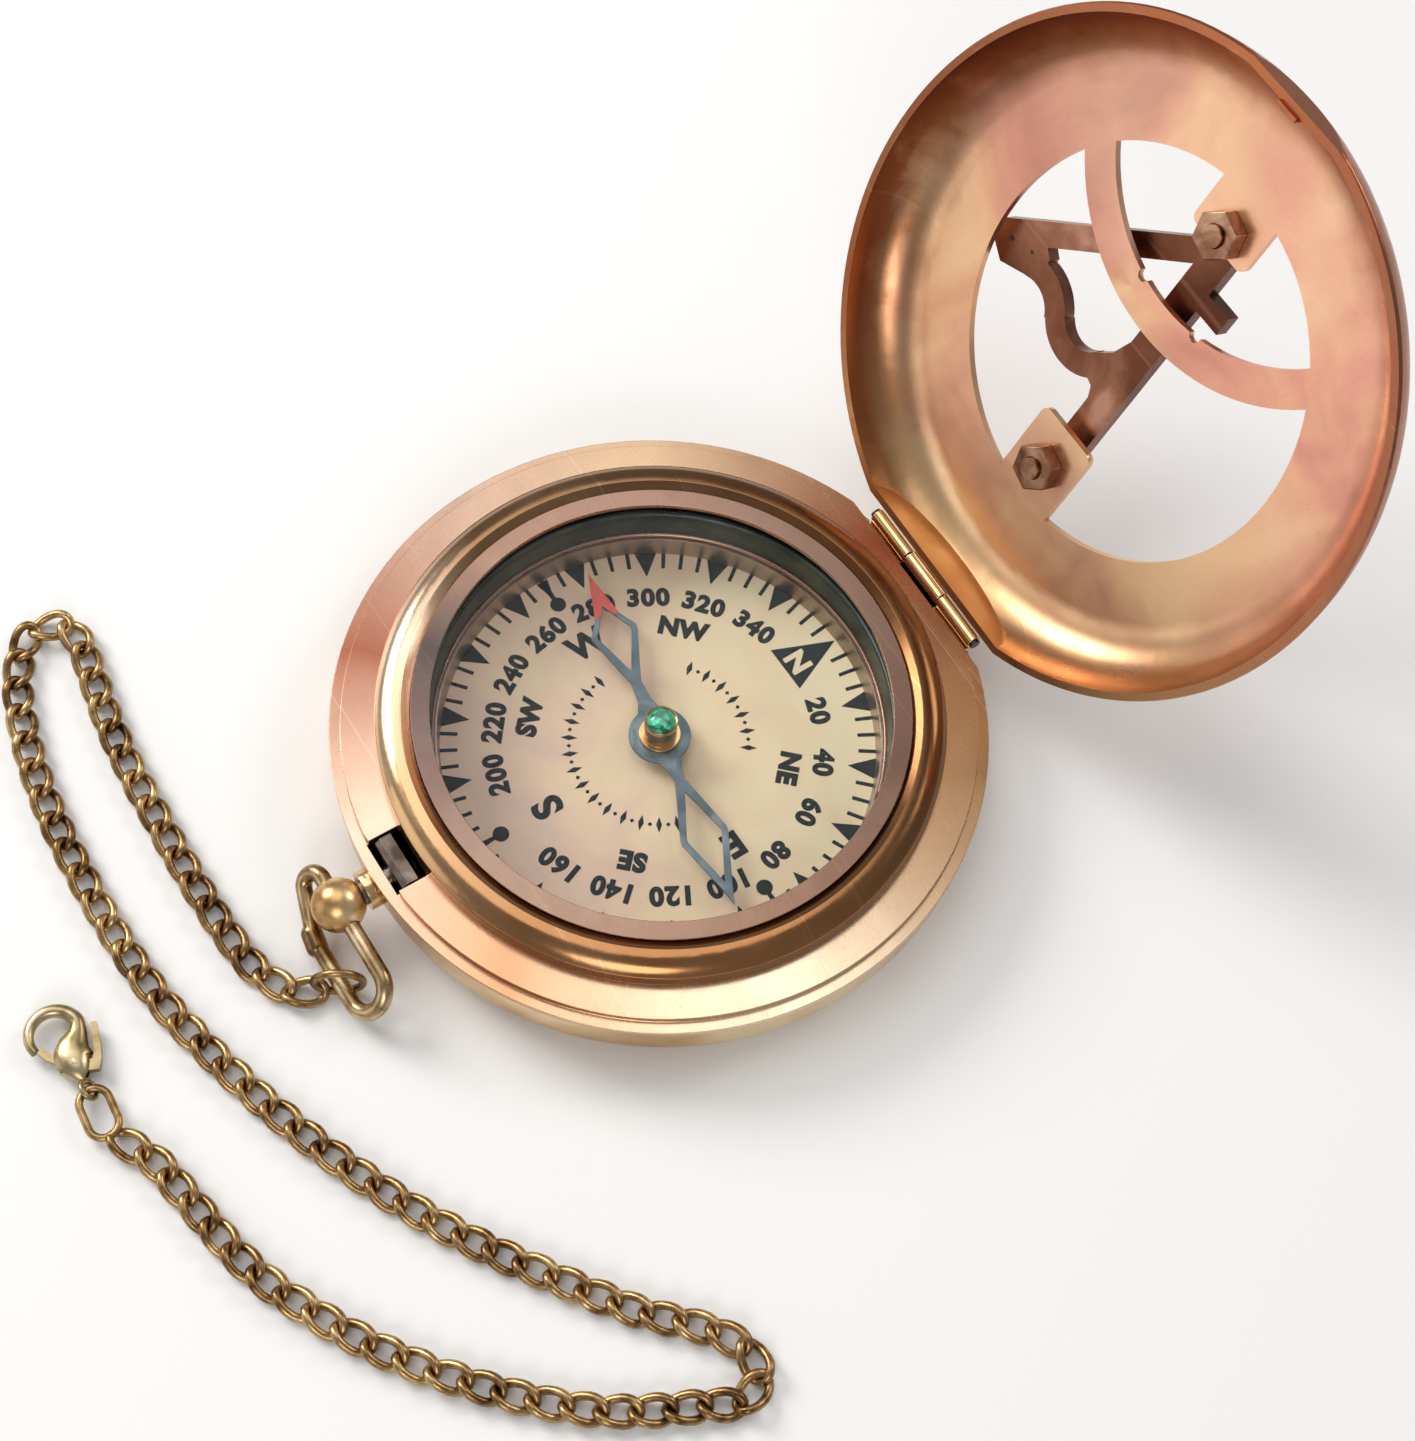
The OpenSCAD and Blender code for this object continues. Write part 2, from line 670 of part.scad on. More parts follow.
module end_ring() {
    color("darkgoldenrod") translate([clasp_x, clasp_y, clasp_z]) rotate([0, 0, end_link_turn])
        oval_link(end_link_long, end_link_wide, ring_wire_r);
}

module clasp_disc(x, y, r, h) { translate([x, y, -h / 2]) cylinder(r = r, h = h); }

// The part of the hook cut away for the gate's swing
module gate_gap() {
    intersection() {
        clasp_disc(lever_x, lever_y, lever_reach + 0.1, 2 * clasp_h);
        translate([4.95, 1.9, -clasp_h]) cube([4, 4, 2 * clasp_h]);
    }
}

module lever_slot() {
    clasp_disc(lever_x, lever_y, 1, slot_h);
    translate([0, 0, -slot_h / 2]) linear_extrude(slot_h)
        polygon([[1.2, -0.4], [2.5, 0.9], [3.6, 3.6], [5.6, 4.4], [6.1, 2.5], [6.1, 0.85], [3.9, -0.9],
            [3.4, -1.6], [3.4, -3], [0.6, -3], [0.6, -1.6]]);
}

// The clasp's body and hook, drawn along +X from the eye
module clasp_body() {
    color("darkkhaki") in_clasp() {
        difference() {
            union() {
                clasp_disc(3.9, 0.3, 2.35, clasp_h);
                translate([0, 0, -clasp_h / 2]) linear_extrude(clasp_h)
                    polygon([[1.4, -0.7], [3.2, -1.8], [4.6, -1.5], [5, 2], [2.5, 1.9], [1.4, 0.8]]);
                clasp_disc(7.3, 0.75, 3.45, hook_h);
            }
            clasp_disc(7.5, 1.1, 2.1, 2 * clasp_h);
            gate_gap();
            lever_slot();
            clasp_disc(lever_x, lever_y, rivet_r, 2 * clasp_h);
        }
        along_x(eye_r, 0, 0) cylinder(r = 0.5, h = 0.6, $fn = 32);
        rotate([90 - eye_tilt, 0, 0]) torus(eye_r, eye_wire_r);
    }
}

module clasp_rivet() {
    color("gold") in_clasp() translate([lever_x, lever_y, -clasp_h / 2])
        cylinder(r = rivet_r, h = clasp_h, $fn = 32);
}

module clasp_spring() {
    color("silver") in_clasp() translate([lever_x - 1.2, lever_y - 0.6, slot_h / 2 - 0.1]) torus(0.3, 0.05);
}

// The lever: a thumb piece outside the body and the gate that closes the hook
module clasp_lever() {
    color("darkkhaki") in_clasp() translate([0, 0, -lever_h / 2]) difference() {
        union() {
            translate([lever_x, lever_y, 0]) cylinder(r = 0.8, h = lever_h, $fn = 48);
            linear_extrude(lever_h)
                polygon([[2.5, 0.5], [4.9, 2.75], [6.1, 3.35], [6.6, 2.75], [5.25, 2.05], [3.75, -0.4],
                    [2.9, -1.7], [3.9, -2.3], [5.5, -2.65], [6.9, -3.1], [6.7, -3.7], [4.2, -3.1],
                    [2.6, -2.6], [1.5, -1.9], [1.75, -1.2]]);
        }
        translate([lever_x, lever_y, -1]) cylinder(r = rivet_r + rivet_run, h = lever_h + 2, $fn = 48);
    }
}

base_shell();
case_top();
bezel_ring();
glass_retainer();
glass();
capsule_wall();
dial_ring();
snap_ring();
dial_card();
dial_seat();
pivot_post();
hinge_leaf_case();
hinge_pin();
pendant_neck();
latch_spring();
latch_slide();
button_ball();
bow();
needle();
needle_cap();
cap_jewel();
lid_shell();
hinge_leaf_lid();
lid_catch();
gnomon_posts();
post_nuts();
gnomon();
bow_ring();
chain();
end_ring();
clasp_body();
clasp_rivet();
clasp_spring();
clasp_lever();
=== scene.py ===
import math
import random

import bmesh
import bpy
from mathutils import Matrix, Vector


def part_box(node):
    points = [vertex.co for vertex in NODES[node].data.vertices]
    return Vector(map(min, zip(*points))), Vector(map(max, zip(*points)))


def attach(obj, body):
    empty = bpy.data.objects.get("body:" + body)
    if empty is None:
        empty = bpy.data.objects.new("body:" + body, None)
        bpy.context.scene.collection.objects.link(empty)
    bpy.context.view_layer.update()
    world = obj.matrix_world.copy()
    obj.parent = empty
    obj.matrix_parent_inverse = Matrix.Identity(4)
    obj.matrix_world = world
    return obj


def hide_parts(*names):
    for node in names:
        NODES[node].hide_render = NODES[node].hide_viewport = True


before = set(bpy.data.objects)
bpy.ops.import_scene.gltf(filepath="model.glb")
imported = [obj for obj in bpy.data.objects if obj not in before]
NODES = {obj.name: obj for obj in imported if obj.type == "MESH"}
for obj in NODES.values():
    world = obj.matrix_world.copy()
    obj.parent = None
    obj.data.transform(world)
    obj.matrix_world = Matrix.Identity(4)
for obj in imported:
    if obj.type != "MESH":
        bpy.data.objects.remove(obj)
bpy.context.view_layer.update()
MM = 0.001
RNG = random.Random(7)
TAU = 2 * math.pi


# ------------------------------------------------------------------ camera
# The photograph's camera, fitted to the dial, the rims and the nuts (places in millimetres)
CAMERA_AT = Vector((103.47, -80.33, 270.86)) * MM
CAMERA_TO = Vector((2.30, 4.55, 10.0)) * MM
CAMERA_ROLL = math.radians(8.45)
SENSOR = 36
LENS = 64.37
SHIFT = (0.0007, -0.0047)
CLIP = (0.01, 20)


def make_camera():
    """The photograph's view, rolled about its own axis, with plain colours."""
    data = bpy.data.cameras.new("camera")
    data.sensor_width = SENSOR
    data.lens = LENS
    data.shift_x, data.shift_y = SHIFT
    data.clip_start, data.clip_end = CLIP
    look = (CAMERA_TO - CAMERA_AT).normalized()
    side = look.cross(Vector((0, 0, 1))).normalized()
    top = side.cross(look)
    c, s = math.cos(CAMERA_ROLL), math.sin(CAMERA_ROLL)
    right, up = c * side + s * top, c * top - s * side
    camera = bpy.data.objects.new("camera", data)
    turned = Matrix((right, up, -look)).transposed().to_4x4()
    camera.matrix_world = Matrix.Translation(CAMERA_AT) @ turned
    bpy.context.scene.collection.objects.link(camera)
    bpy.context.scene.camera = camera
    bpy.context.scene.view_settings.view_transform = "Standard"


make_camera()


# ------------------------------------------------------------------ meshes
def add_mesh(name, verts, faces, materials, smooth, face_slots=None):
    """A new mesh object from millimetre vertices, smooth up to an angle in degrees, or flat at 0."""
    data = bpy.data.meshes.new(name)
    data.from_pydata([(x * MM, y * MM, z * MM) for x, y, z in verts], [], faces)
    for m in materials if isinstance(materials, (list, tuple)) else [materials]:
        data.materials.append(m)
    if face_slots:
        for polygon, index in zip(data.polygons, face_slots):
            polygon.material_index = index
    data.update()
    obj = bpy.data.objects.new(name, data)
    bpy.context.scene.collection.objects.link(obj)
    if smooth:
        data.shade_smooth()
        bm = bmesh.new()
        bm.from_mesh(data)
        limit = math.radians(smooth)
        for edge in bm.edges:
            if len(edge.link_faces) == 2 and edge.calc_face_angle(0) > limit:
                edge.smooth = False
        bm.to_mesh(data)
        bm.free()
    return obj


class Shape:
    """Vertices and faces in millimetres, gathered from several simple pieces."""

    def __init__(self):
        self.verts, self.faces, self.slots = [], [], []

    def add(self, verts, faces, slot=0, matrix=None):
        start = len(self.verts)
        for v in verts:
            v = Vector(v)
            self.verts.append(tuple(matrix @ v) if matrix else tuple(v))
        self.faces += [[start + i for i in face] for face in faces]
        self.slots += [slot] * len(faces)

    def make(self, name, materials, smooth):
        return add_mesh(name, self.verts, self.faces, materials, smooth, self.slots)


def lathe(profile, sides):
    """Turns a closed outline of (radius, height) points about Z."""
    angles = [TAU * k / sides for k in range(sides)]
    verts = [(r * math.cos(w), r * math.sin(w), z) for r, z in profile for w in angles]
    faces = []
    for row in range(len(profile)):
        low, high = row * sides, (row + 1) % len(profile) * sides
        for k in range(sides):
            n = (k + 1) % sides
            faces.append((low + k, low + n, high + n, high + k))
    return verts, faces


def arc_points(cx, cy, r, start, end, steps):
    """Points on an arc, with angles in degrees."""
    angles = [math.radians(start + (end - start) * i / steps) for i in range(steps + 1)]
    return [(cx + r * math.cos(a), cy + r * math.sin(a)) for a in angles]


def sweep(points, radii, sides):
    """A tube with closed ends through points; radii are (across, upwards) pairs."""
    points = [Vector(p) for p in points]
    last = len(points) - 1
    verts, faces = [], []
    for i, (p, (across, upwards)) in enumerate(zip(points, radii)):
        t = (points[min(i + 1, last)] - points[max(i - 1, 0)]).normalized()
        side = t.cross(Vector((0, 0, 1))).normalized()
        top = side.cross(t)
        for k in range(sides):
            w = TAU * k / sides
            verts.append(p + side * (across * math.cos(w)) + top * (upwards * math.sin(w)))
    for i in range(last):
        a, b = i * sides, (i + 1) * sides
        for k in range(sides):
            m = (k + 1) % sides
            faces.append((a + k, a + m, b + m, b + k))
    faces.append(tuple(range(sides - 1, -1, -1)))
    faces.append(tuple(last * sides + k for k in range(sides)))
    return verts, faces


def prism(outline, z0, z1):
    """A flat piece between two heights, from an outline that runs anticlockwise."""
    n = len(outline)
    verts = [(x, y, z0) for x, y in outline] + [(x, y, z1) for x, y in outline]
    faces = [tuple(range(n - 1, -1, -1)), tuple(range(n, 2 * n))]
    faces += [(i, (i + 1) % n, n + (i + 1) % n, n + i) for i in range(n)]
    return verts, faces


# ------------------------------------------------------------------ materials
class Nodes:
    """A Principled material with short calls for the nodes that feed it."""

    def __init__(self, name, rough=0.4, metal=0.0, colour=(0.8, 0.8, 0.8), **sockets):
        self.material = bpy.data.materials.new(name)
        self.material.use_nodes = True
        self.tree = self.material.node_tree
        self.shader = self.tree.nodes["Principled BSDF"]
        self.shader.inputs["Base Color"].default_value = (*colour, 1)
        self.shader.inputs["Roughness"].default_value = rough
        self.shader.inputs["Metallic"].default_value = metal
        for key, value in sockets.items():
            self.shader.inputs[key.replace("_", " ")].default_value = value
        self.where = self.tree.nodes.new("ShaderNodeTexCoord").outputs["Object"]

    def link(self, out, socket):
        self.tree.links.new(out, socket)

    def node(self, kind, **props):
        n = self.tree.nodes.new(kind)
        for key, value in props.items():
            setattr(n, key, value)
        return n

    def mapped(self, scale=(1, 1, 1), turn=(0, 0, 0), shift=(0, 0, 0)):
        n = self.node("ShaderNodeMapping")
        n.inputs["Scale"].default_value = scale
        n.inputs["Rotation"].default_value = [math.radians(a) for a in turn]
        n.inputs["Location"].default_value = shift
        self.link(self.where, n.inputs["Vector"])
        return n.outputs["Vector"]

    def noise(self, scale, detail=3, rough=0.55, twist=0.0, vector=None):
        n = self.node("ShaderNodeTexNoise")
        n.inputs["Scale"].default_value = scale
        n.inputs["Detail"].default_value = detail
        n.inputs["Roughness"].default_value = rough
        n.inputs["Distortion"].default_value = twist
        self.link(vector or self.where, n.inputs["Vector"])
        return n.outputs["Fac"]

    def range(self, value, low, high, to_low, to_high):
        n = self.node("ShaderNodeMapRange")
        self.link(value, n.inputs["Value"])
        for key, v in zip(("From Min", "From Max", "To Min", "To Max"), (low, high, to_low, to_high)):
            n.inputs[key].default_value = v
        return n.outputs["Result"]

    def ramp(self, value, stops):
        n = self.node("ShaderNodeValToRGB")
        self.link(value, n.inputs["Fac"])
        line = n.color_ramp
        while len(line.elements) < len(stops):
            line.elements.new(0.5)
        for e, (at, colour) in zip(line.elements, stops):
            e.position = at
            e.color = (*colour, 1)
        return n.outputs["Color"]

    def vector_math(self, operation, *values):
        n = self.node("ShaderNodeVectorMath", operation=operation)
        for socket, v in zip(n.inputs, values):
            if isinstance(v, tuple):
                socket.default_value = v
            else:
                self.link(v, socket)
        return n

    def mix(self, share, a, b):
        n = self.node("ShaderNodeMix", data_type="RGBA")
        if isinstance(share, (int, float)):
            n.inputs["Factor"].default_value = share
        else:
            self.link(share, n.inputs["Factor"])
        for socket, v in ((n.inputs["A"], a), (n.inputs["B"], b)):
            if isinstance(v, (list, tuple)):
                socket.default_value = (*v, 1)
            else:
                self.link(v, socket)
        return n.outputs["Result"]

    def math(self, operation, a, b=0.0):
        n = self.node("ShaderNodeMath", operation=operation)
        for socket, v in zip(n.inputs, (a, b)):
            if isinstance(v, (int, float)):
                socket.default_value = v
            else:
                self.link(v, socket)
        return n.outputs[0]

    def bump(self, height, depth_mm):
        n = self.node("ShaderNodeBump")
        n.inputs["Strength"].default_value = 1.0
        n.inputs["Distance"].default_value = depth_mm * MM
        self.link(height, n.inputs["Height"])
        self.link(n.outputs["Normal"], self.shader.inputs["Normal"])

    def colour(self, out):
        self.link(out, self.shader.inputs["Base Color"])

    def rough(self, out):
        self.link(out, self.shader.inputs["Roughness"])


# Turn in degrees and waviness along each family of hairlines
SCRATCH_FAMILIES = ((17, 14), (73, 11), (131, 17))
SCRATCH_SCALE = 1900


def scratches(m):
    """Fine hairlines in three directions, as one value that is 1 on a scratch."""
    total = None
    for turn, wave in SCRATCH_FAMILIES:
        lines = m.noise(1, 2, 0.5, 0.3, m.mapped((wave, SCRATCH_SCALE, wave), (0, 0, turn)))
        thin = m.range(lines, 0.68, 0.74, 0, 1)
        total = thin if total is None else m.math("MAXIMUM", total, thin)
    return total


SPOT_COLOUR = (0.10, 0.05, 0.03)
FINE_SCALE = 2600
GRAIN_SCALE = 700
DRIFT_SCALE = 45
# How far the rings of tints drift sideways, and in and out (metres)
DRIFT_REACH = 0.012
WANDER_REACH = 0.008


def direction(m):
    """The direction about the vertical axis, 0 to 1 from -X anticlockwise, with a slight drift."""
    drift = m.node("ShaderNodeTexNoise")
    drift.inputs["Scale"].default_value = DRIFT_SCALE
    m.link(m.where, drift.inputs["Vector"])
    moved = m.vector_math("MULTIPLY_ADD", drift.outputs["Color"], (DRIFT_REACH, DRIFT_REACH, 0), m.where)
    turn = m.node("ShaderNodeTexGradient", gradient_type="RADIAL")
    m.link(moved.outputs["Vector"], turn.inputs["Vector"])
    return turn.outputs["Fac"]


def distance(m, wander):
    """The distance from the vertical axis in metres, moved in and out by a noise."""
    flat = m.vector_math("MULTIPLY", m.where, (1, 1, 0))
    size = m.vector_math("LENGTH", flat.outputs["Vector"])
    moved = m.math("MULTIPLY", m.math("SUBTRACT", wander, 0.5), WANDER_REACH)
    return m.math("ADD", size.outputs["Value"], moved)


def aged_metal(name, stops, rough, blotch=30, dirt=0.25, depth=0.003, seed=0.0, scratched=0.12, around=None,
               share=0.75, tilt=None, edge=None):
    """Old brass or copper: drifting heat tints, small dark spots, hairline scratches, uneven gloss and, with
    around and edge, painted reflections and shade by direction.

    rough is the range of roughness, blotch the scale of the tints, dirt the strength of the dark spots and
    depth the height of the relief in millimetres. around is a ramp of tints by direction, mixed in by share:
    part patina, part painted reflections, highlights and shade. edge is two radii in millimetres with a
    second such ramp, of painted shade and darker patina, that takes over between them. tilt turns the
    coordinates about X and shifts them."""
    m = Nodes(name, metal=1.0)
    if tilt:
        m.where = m.mapped(turn=(tilt[0], 0, 0), shift=tilt[1])
    big = m.noise(blotch, 3, 0.5, 1.0, m.mapped(shift=(seed, seed * 0.7, 0)))
    mid = m.noise(blotch * 4, 4, 0.55, 0.4, m.mapped(shift=(0, seed, seed)))
    fine = m.noise(FINE_SCALE, 3, 0.6)
    grain = m.noise(GRAIN_SCALE, 3, 0.6)
    hair = scratches(m)
    tone = m.math("ADD", m.math("MULTIPLY", big, 0.78), m.math("MULTIPLY", mid, 0.22))
    tint = m.ramp(m.range(tone, 0.36, 0.64, 0, 1), stops)
    # Tints by direction: painted reflections, highlights and shade, with some patina.
    if around:
        turn = direction(m)
        tint = m.mix(share, tint, m.ramp(turn, around))
        # Towards the rim a second ramp by direction takes over: painted shade, with darker patina.
        if edge:
            near, far, rim = edge
            reach = m.range(distance(m, mid), near * MM, far * MM, 0, 0.9)
            tint = m.mix(reach, tint, m.ramp(turn, rim))
    spots = m.math("MULTIPLY", m.range(fine, 0.62, 0.74, 0, 1), m.range(grain, 0.5, 0.65, 0, 1))
    stained = m.mix(m.math("MULTIPLY", spots, dirt), tint, SPOT_COLOUR)
    bright = [min(1, 1.3 * c) for c in stops[-1][1]]
    m.colour(m.mix(m.math("MULTIPLY", hair, scratched), stained, bright))
    m.rough(m.range(m.math("ADD", mid, m.math("MULTIPLY", fine, 0.4)), 0.45, 0.95, *rough))
    relief = m.math("SUBTRACT", m.math("MULTIPLY", mid, 0.5), m.math("MULTIPLY", hair, 0.5))
    m.bump(m.math("ADD", m.math("MULTIPLY", fine, 0.3), relief), depth)
    return m.material


def ramp_of(places, *tints):
    """Stops for a colour ramp: one tint at each place."""
    return list(zip(places, tints))


def ring_tints(*tints):
    """Tints at eight directions, 45 degrees apart from -X, closed into a ring."""
    return [(i / 8, tint) for i, tint in enumerate(tints + tints[:1])]


# Places of the stops along a ramp
THIRDS = (0.0, 0.35, 0.65, 1.0)
SLOW = (0.0, 0.35, 0.7, 1.0)
LATE = (0.0, 0.4, 0.75, 1.0)
HALVES = (0.0, 0.5, 1.0)
GOLD = ramp_of(THIRDS, (0.46, 0.25, 0.10), (0.64, 0.40, 0.17), (0.78, 0.55, 0.28), (0.88, 0.70, 0.43))
BEZEL = ramp_of(THIRDS, (0.34, 0.16, 0.06), (0.50, 0.27, 0.11), (0.66, 0.40, 0.18), (0.82, 0.58, 0.32))
COPPER = ramp_of((0.0, 0.3, 0.6, 1.0),
                 (0.42, 0.16, 0.09), (0.62, 0.31, 0.19), (0.76, 0.48, 0.29), (0.88, 0.67, 0.44))
LID = ramp_of(THIRDS, (0.34, 0.12, 0.10), (0.58, 0.26, 0.19), (0.74, 0.44, 0.25), (0.88, 0.63, 0.36))
ROSE = ramp_of(LATE, (0.20, 0.08, 0.05), (0.34, 0.16, 0.11), (0.46, 0.24, 0.17), (0.60, 0.36, 0.26))
BRONZE = ramp_of(SLOW, (0.15, 0.08, 0.03), (0.29, 0.17, 0.07), (0.43, 0.275, 0.12), (0.56, 0.39, 0.19))
CLASP = ramp_of(SLOW, (0.28, 0.20, 0.09), (0.40, 0.31, 0.16), (0.50, 0.40, 0.23), (0.60, 0.50, 0.32))
PALE = ramp_of(SLOW, (0.20, 0.12, 0.05), (0.38, 0.26, 0.13), (0.56, 0.42, 0.24), (0.72, 0.58, 0.38))
GNOMON = ramp_of(LATE, (0.10, 0.035, 0.02), (0.17, 0.065, 0.035), (0.30, 0.13, 0.08), (0.48, 0.25, 0.17))
NUT = ramp_of(HALVES, (0.14, 0.06, 0.035), (0.30, 0.15, 0.09), (0.50, 0.31, 0.20))
WALL = ramp_of(HALVES, (0.035, 0.045, 0.044), (0.065, 0.085, 0.080), (0.12, 0.14, 0.125))
BAND = ramp_of(HALVES, (0.30, 0.24, 0.21), (0.46, 0.37, 0.31), (0.64, 0.54, 0.44))
STEEL = ramp_of(HALVES, (0.03, 0.025, 0.022), (0.085, 0.07, 0.06), (0.22, 0.19, 0.16))
SLIDE = ramp_of(HALVES, (0.07, 0.05, 0.04), (0.16, 0.125, 0.10), (0.34, 0.28, 0.23))
BLUED = ramp_of(HALVES, (0.08, 0.11, 0.13), (0.13, 0.17, 0.20), (0.22, 0.27, 0.30))
# These rings of tints by direction are partly patina and partly painted light: lighter where they paint in
# reflections and highlights, darker where they paint in shade and dark reflections.
# From -X anticlockwise: -X, -X-Y, -Y (latch), +X-Y, +X, +X+Y, +Y (hinge), -X+Y
FLANGE_TINT_AND_LIGHT_RING = ring_tints((0.54, 0.37, 0.28), (0.29, 0.085, 0.05), (0.84, 0.58, 0.44), (0.64, 0.34, 0.18),
                         (0.98, 0.80, 0.58), (0.50, 0.28, 0.13), (0.34, 0.075, 0.025), (0.92, 0.64, 0.40))
BEZEL_TINT_AND_LIGHT_RING = ring_tints((0.30, 0.17, 0.09), (0.95, 0.74, 0.54), (0.66, 0.42, 0.22), (0.38, 0.17, 0.07),
                        (0.38, 0.17, 0.07), (0.15, 0.07, 0.03), (0.20, 0.075, 0.028), (0.26, 0.14, 0.075))
RETAINER_TINT_AND_LIGHT_RING = ring_tints((0.36, 0.23, 0.17), (0.08, 0.075, 0.075), (0.20, 0.14, 0.12), (0.36, 0.25, 0.19),
                           (0.32, 0.20, 0.14), (0.20, 0.12, 0.09), (0.36, 0.23, 0.17), (0.48, 0.30, 0.23))
LID_TINT_AND_LIGHT_RING = ring_tints((0.70, 0.34, 0.24), (0.90, 0.54, 0.37), (0.80, 0.42, 0.29), (0.84, 0.40, 0.30),
                      (0.84, 0.40, 0.28), (0.88, 0.56, 0.31), (0.90, 0.62, 0.38), (0.68, 0.36, 0.20))
LID_RIM_SHADE_AND_PATINA = ring_tints((0.20, 0.06, 0.02), (0.36, 0.12, 0.045), (0.40, 0.11, 0.035), (0.28, 0.085, 0.04),
                     (0.36, 0.13, 0.06), (0.46, 0.25, 0.11), (0.50, 0.28, 0.12), (0.24, 0.065, 0.02))
# Turns the open lid's coordinates back to where it lies when shut, which centres it on the axis
LID_BACK = (117, (0, 0.06142, -0.01923))

m_polished = aged_metal("polished_brass", GOLD, rough=(0.12, 0.26), blotch=45, dirt=0.15)
m_ball = aged_metal("ball_brass", GOLD, rough=(0.26, 0.40), blotch=120, dirt=0.3, depth=0.006, seed=0.5)
m_bezel = aged_metal("bezel_brass", BEZEL, rough=(0.14, 0.28), dirt=0.2, depth=0.002, seed=2.0,
                     around=BEZEL_TINT_AND_LIGHT_RING, share=0.88)
m_flange = aged_metal("flange_copper", COPPER, rough=(0.18, 0.33), dirt=0.3, seed=5.0,
                      around=FLANGE_TINT_AND_LIGHT_RING, share=0.92)
m_retainer = aged_metal("retainer_brass", ROSE, rough=(0.22, 0.36), blotch=60, seed=3.0,
                        around=RETAINER_TINT_AND_LIGHT_RING, share=0.88)
m_lid = aged_metal("lid_copper", LID, rough=(0.26, 0.38), blotch=42, dirt=0.3, seed=8.0,
                   around=LID_TINT_AND_LIGHT_RING, scratched=0.05, share=0.5, tilt=LID_BACK, edge=(30, 36, LID_RIM_SHADE_AND_PATINA))
m_gnomon = aged_metal("gnomon_copper", GNOMON, rough=(0.24, 0.4), blotch=55, dirt=0.5, depth=0.005, seed=4.0)
m_nut = aged_metal("nut_copper", NUT, rough=(0.24, 0.4), blotch=220, dirt=0.5, depth=0.006, seed=1.5)
m_chain = aged_metal("chain_bronze", BRONZE, rough=(0.24, 0.42), blotch=260, dirt=0.5, depth=0.006, seed=6.0)
m_clasp = aged_metal("clasp_bronze", CLASP, rough=(0.24, 0.38), blotch=180, dirt=0.4, depth=0.005, seed=6.5)
m_bow = aged_metal("bow_brass", PALE, rough=(0.20, 0.38), blotch=150, dirt=0.5, depth=0.006, seed=7.0)
m_wall = aged_metal("wall_dark", WALL, rough=(0.3, 0.5), blotch=60, seed=1.0)
m_band = aged_metal("wall_band", BAND, rough=(0.3, 0.5), blotch=60, seed=9.0)
m_steel = aged_metal("dark_steel", STEEL, rough=(0.26, 0.42), blotch=200, dirt=0.5, depth=0.006, seed=2.5)
m_slide = aged_metal("slide_steel", SLIDE, rough=(0.24, 0.4), blotch=200, dirt=0.5, depth=0.005, seed=2.8)
m_blued = aged_metal("blued_steel", BLUED, rough=(0.3, 0.45), blotch=220, dirt=0.2, seed=3.5)

DIAL_TINTS = ramp_of(THIRDS, (0.88, 0.76, 0.52), (0.86, 0.68, 0.46), (0.82, 0.60, 0.45), (0.74, 0.54, 0.45))
DIAL_SPECK = (0.30, 0.22, 0.16)
INK_TINTS = ramp_of((0, 0.7, 1), (0.012, 0.017, 0.02), (0.03, 0.037, 0.04), (0.11, 0.10, 0.09))
RED_TINTS = ramp_of((0, 0.7, 1), (0.62, 0.07, 0.05), (0.72, 0.11, 0.08), (0.78, 0.25, 0.18))
GLASS_TINT = (0.985, 0.99, 0.985, 1)
GLASS_ROUGH = 0.03
GLASS_BLEND = 0.025
# Deep, middle and bright copies of one green, handed out to the jewel's facets as painted facet light and
# shade
JEWEL_LIT_AND_SHADED_GREENS = ((0.004, 0.16, 0.085), (0.015, 0.48, 0.27), (0.10, 0.85, 0.52))


def dial_material():
    """Beige dial with a rosy patina that grows towards the latch side, and small rubbed marks."""
    m = Nodes("dial_face", rough=0.5, Specular_IOR_Level=0.3)
    split = m.node("ShaderNodeSeparateXYZ")
    m.link(m.where, split.inputs["Vector"])
    slope_y = m.math("MULTIPLY", split.outputs["Y"], -16)
    slope_x = m.math("MULTIPLY", split.outputs["X"], -5)
    cloud = m.noise(60, 5, 0.6, 1.2)
    drift = m.math("ADD", m.math("ADD", slope_y, slope_x), m.math("MULTIPLY", cloud, 1.9))
    tint = m.ramp(m.range(drift, 0.5, 1.5, 0, 1), DIAL_TINTS)
    fine = m.noise(1500, 4, 0.7)
    m.colour(m.mix(m.range(fine, 0.62, 0.8, 0, 0.35), tint, DIAL_SPECK))
    m.rough(m.range(cloud, 0.3, 0.7, 0.38, 0.55))
    m.bump(fine, 0.004)
    return m.material


def ink_material():
    """Near-black print, worn grey in fine specks."""
    m = Nodes("dial_ink", rough=0.5, Specular_IOR_Level=0.15)
    fine = m.noise(FINE_SCALE, 4, 0.7)
    m.colour(m.ramp(m.range(fine, 0.35, 0.75, 0, 1), INK_TINTS))
    m.rough(m.range(fine, 0.3, 0.7, 0.4, 0.6))
    m.bump(fine, 0.003)
    return m.material


def red_material():
    """Red lacquer, a little paler where it is worn."""
    m = Nodes("red_tip", rough=0.4)
    fine = m.noise(1800, 4, 0.7)
    m.colour(m.ramp(m.range(fine, 0.35, 0.75, 0, 1), RED_TINTS))
    m.bump(fine, 0.003)
    return m.material


